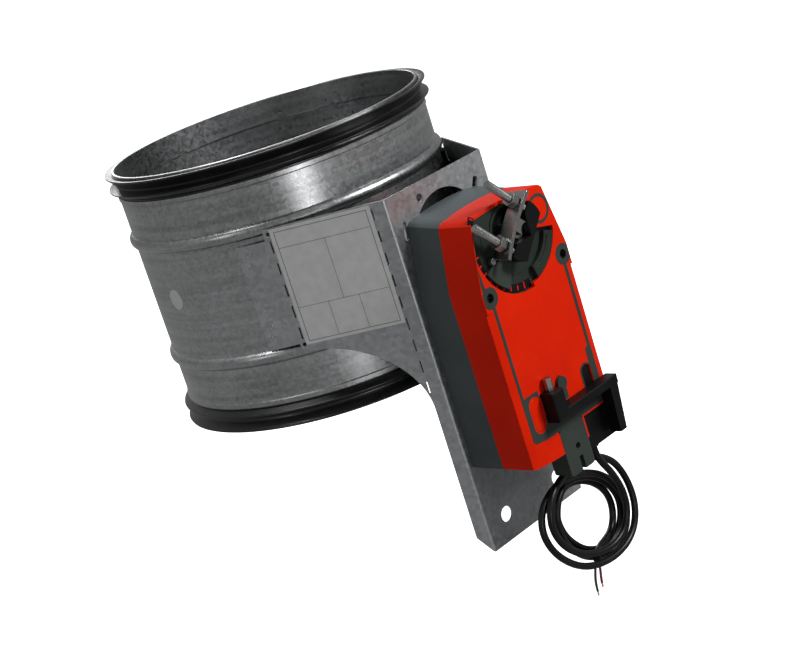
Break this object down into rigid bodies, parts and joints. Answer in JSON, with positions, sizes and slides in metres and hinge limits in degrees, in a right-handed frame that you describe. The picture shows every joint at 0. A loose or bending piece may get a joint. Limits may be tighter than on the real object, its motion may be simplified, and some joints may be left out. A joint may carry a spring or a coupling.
{
  "type": "motorised duct damper",
  "caption": "Round shut-off damper for a ventilation duct: short galvanised tube with lip seals, turning blade, splayed sheet console and a spring-return rotary drive with a coiled cable",
  "frame": {"origin": "middle of the upper duct end, on the duct's axis, in the plane of the rim", "axes": "+Z out of the upper duct end along the duct, +X along the shaft to the drive, +Y across"},
  "size_m": [0.372, 0.2604, 0.3975],
  "materials": {
    "galvanised": "spangled zinc, satin",
    "console_sheet": "galvanised sheet, satin",
    "seal_rubber": "smooth",
    "label_white": "paper film, matt",
    "bush_plastic": "moulded",
    "grey_plastic": "fine texture",
    "orange_plastic": "satin",
    "black_plastic": "moulded",
    "dark_grey_plastic": "moulded",
    "zinc_steel": "zinc plated",
    "brass_gear": "machined",
    "board_green": "solder mask",
    "cable_sheath": "smooth",
    "core_black": "smooth",
    "core_red": "smooth"
  },
  "bodies": {
    "casing": {"duct_shell": "galvanised", "upper_seal": "seal_rubber", "lower_seal": "seal_rubber", "console": "console_sheet", "flange_label": "label_white", "round_sticker": "label_white", "drive_bush": "bush_plastic", "shaft_seal": "seal_rubber", "idle_bush": "bush_plastic", "idle_cap": "bush_plastic", "actuator_base": "grey_plastic", "actuator_cover": "orange_plastic", "face_frame": "grey_plastic", "dial_pan": "dark_grey_plastic", "dial_scale": "black_plastic", "cover_plug": "orange_plastic", "blind_plug": "black_plastic", "cover_screws": "zinc_steel", "fixing_screws": "zinc_steel", "terminal_block": "black_plastic", "cable_gland": "black_plastic", "rear_bearing": "bush_plastic", "front_bearing": "bush_plastic", "gear_plate": "zinc_steel", "plate_screws": "zinc_steel", "gear_axles": "zinc_steel", "return_spring": "zinc_steel", "motor": "zinc_steel", "circuit_board": "board_green", "cable_lead": "cable_sheath", "cable_coil": "cable_sheath", "wire_black": "core_black", "wire_red": "core_red"},
    "blade": {"blade_disc_upper": "galvanised", "blade_disc_lower": "galvanised", "blade_seal": "seal_rubber", "blade_rivets": "zinc_steel", "blade_shaft": "zinc_steel", "shaft_circlip": "zinc_steel", "blade_bolts": "zinc_steel", "blade_nuts": "zinc_steel", "output_hub": "dark_grey_plastic", "output_gear": "zinc_steel", "clamp_block": "black_plastic", "clamp_saddle": "zinc_steel", "clamp_studs": "zinc_steel", "clamp_nuts": "zinc_steel", "pointer": "grey_plastic", "pointer_screw": "zinc_steel", "hub_clip": "grey_plastic"},
    "second_gear": {"second_gear": "brass_gear"},
    "first_gear": {"first_gear": "brass_gear"},
    "motor_pinion": {"motor_pinion": "brass_gear"},
    "end_stop": {"end_stop": "dark_grey_plastic"},
    "lock_lever": {"lock_lever": "grey_plastic"},
    "crank": {"crank_handle": "black_plastic", "crank_hexagon": "zinc_steel"}
  },
  "joints": [
    {"name": "blade_turn", "type": "hinge", "parent": "casing", "child": "blade", "pos_m": [0, 0, -0.1035], "axis": [-1, 0, 0], "range_deg": [0, 90], "stiffness_Nm_per_rad": 1, "springref_deg": -28.65},
    {"name": "second_gear_turn", "type": "hinge", "parent": "casing", "child": "second_gear", "pos_m": [0.18, 0, -0.1435], "axis": [-1, 0, 0], "range_deg": [-360, 0]},
    {"name": "first_gear_turn", "type": "hinge", "parent": "casing", "child": "first_gear", "pos_m": [0.19, 0, -0.1675], "axis": [-1, 0, 0], "range_deg": [0, 1080]},
    {"name": "motor_turn", "type": "hinge", "parent": "casing", "child": "motor_pinion", "pos_m": [0.196, 0, -0.1875], "axis": [-1, 0, 0], "range_deg": [-3240, 0]},
    {"name": "end_stop_turn", "type": "hinge", "parent": "casing", "child": "end_stop", "pos_m": [0.222, 0, -0.1035], "axis": [-1, 0, 0], "range_deg": [0, 30]},
    {"name": "lock_lever_turn", "type": "hinge", "parent": "casing", "child": "lock_lever", "pos_m": [0.222, 0.0005, -0.2215], "axis": [1, 0, 0], "range_deg": [0, 40]},
    {"name": "crank_lift", "type": "slide", "parent": "casing", "child": "crank", "axis": [1, 0, 0], "range_m": [0, 0.015]}
  ],
  "couplings": [
    {"joint": "second_gear_turn", "follows": "blade_turn", "ratio": -4},
    {"joint": "first_gear_turn", "follows": "blade_turn", "ratio": 12},
    {"joint": "motor_turn", "follows": "blade_turn", "ratio": -36}
  ]
}
